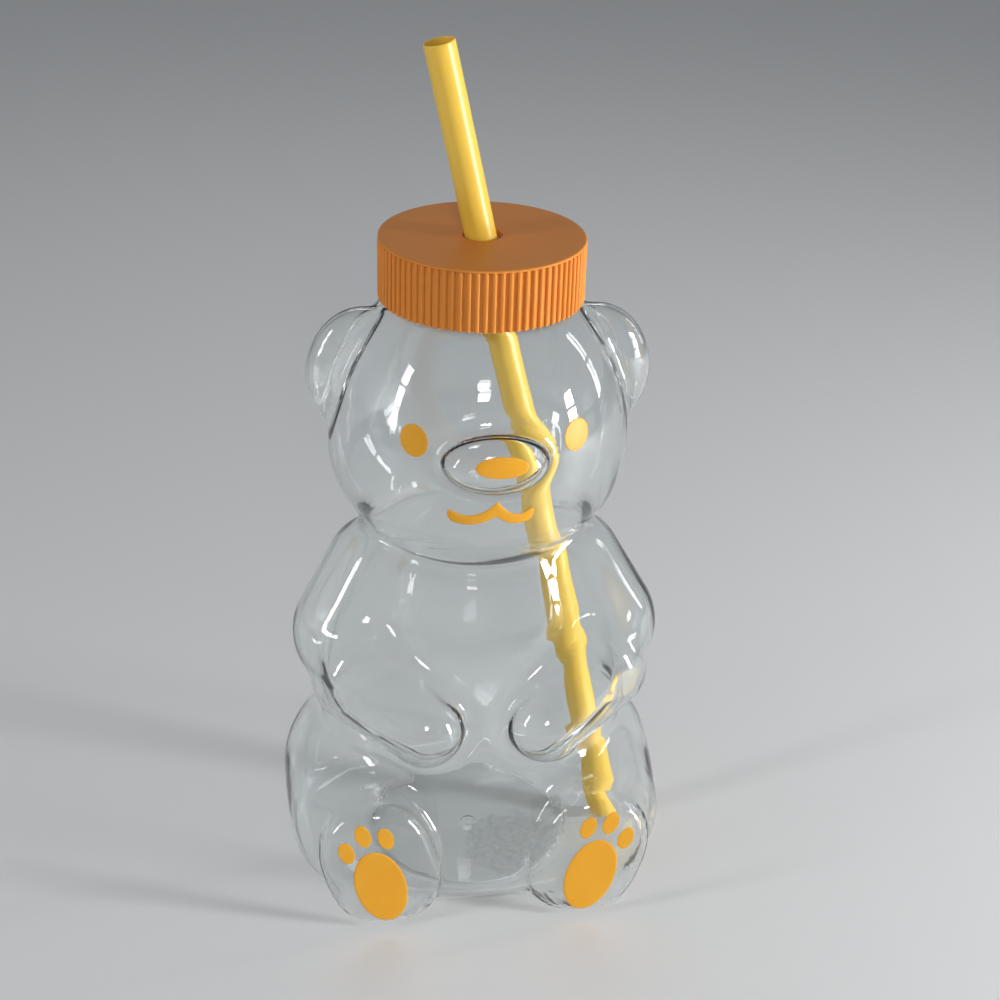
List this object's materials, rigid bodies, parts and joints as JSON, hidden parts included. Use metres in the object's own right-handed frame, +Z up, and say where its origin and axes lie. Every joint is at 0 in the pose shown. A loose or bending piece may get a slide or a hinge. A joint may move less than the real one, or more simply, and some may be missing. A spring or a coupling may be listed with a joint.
{
  "type": "bear-shaped plastic cup",
  "caption": "Clear plastic drinking bottle moulded as a sitting bear, with a ribbed orange screw lid, a yellow straw and flat yellow prints for its face and paws.",
  "frame": {"origin": "centre of the overall box at floor level, on the lid's turning axis and in the middle of the standing face", "axes": "+Z up, the face looks towards -Y, the straw's top leans towards -X"},
  "size_m": [0.1072, 0.0889, 0.2342],
  "materials": {
    "clear_plastic": "clear blow-moulded PET, high gloss",
    "orange_plastic": "terracotta orange polypropylene, satin",
    "grey_foam": "pale foam seal, matt",
    "yellow_plastic": "yellow polypropylene tube, satin",
    "frosted_film": "frosted translucent film, matt",
    "ochre_ink": "yellow-orange printed ink, semi-matt"
  },
  "bodies": {
    "bottle": {"bottle": "clear_plastic", "base_label": "frosted_film", "eye_print_left": "ochre_ink", "eye_print_right": "ochre_ink", "nose_print": "ochre_ink", "mouth_print": "ochre_ink", "sole_pad_left": "ochre_ink", "sole_pad_right": "ochre_ink", "toe_pad_left_1": "ochre_ink", "toe_pad_left_2": "ochre_ink", "toe_pad_left_3": "ochre_ink", "toe_pad_right_1": "ochre_ink", "toe_pad_right_2": "ochre_ink", "toe_pad_right_3": "ochre_ink"},
    "liner": {"seal_ring": "grey_foam"},
    "lid": {"lid": "orange_plastic"},
    "straw": {"straw": "yellow_plastic"}
  },
  "joints": [
    {"name": "lid_rise", "type": "slide", "parent": "bottle", "child": "liner", "axis": [0, 0, 1], "range_m": [0, 0.0064]},
    {"name": "lid_turn", "type": "hinge", "parent": "liner", "child": "lid", "pos_m": [0, 0, 0.1848], "axis": [0, 0, 1], "range_deg": [0, 540]},
    {"name": "straw_pull", "type": "slide", "parent": "liner", "child": "straw", "axis": [-0.2234, 0, 0.9747], "range_m": [0, 0.18]}
  ],
  "couplings": [
    {"joint": "lid_rise", "follows": "lid_turn", "m_per_rad": 0.00067376}
  ]
}
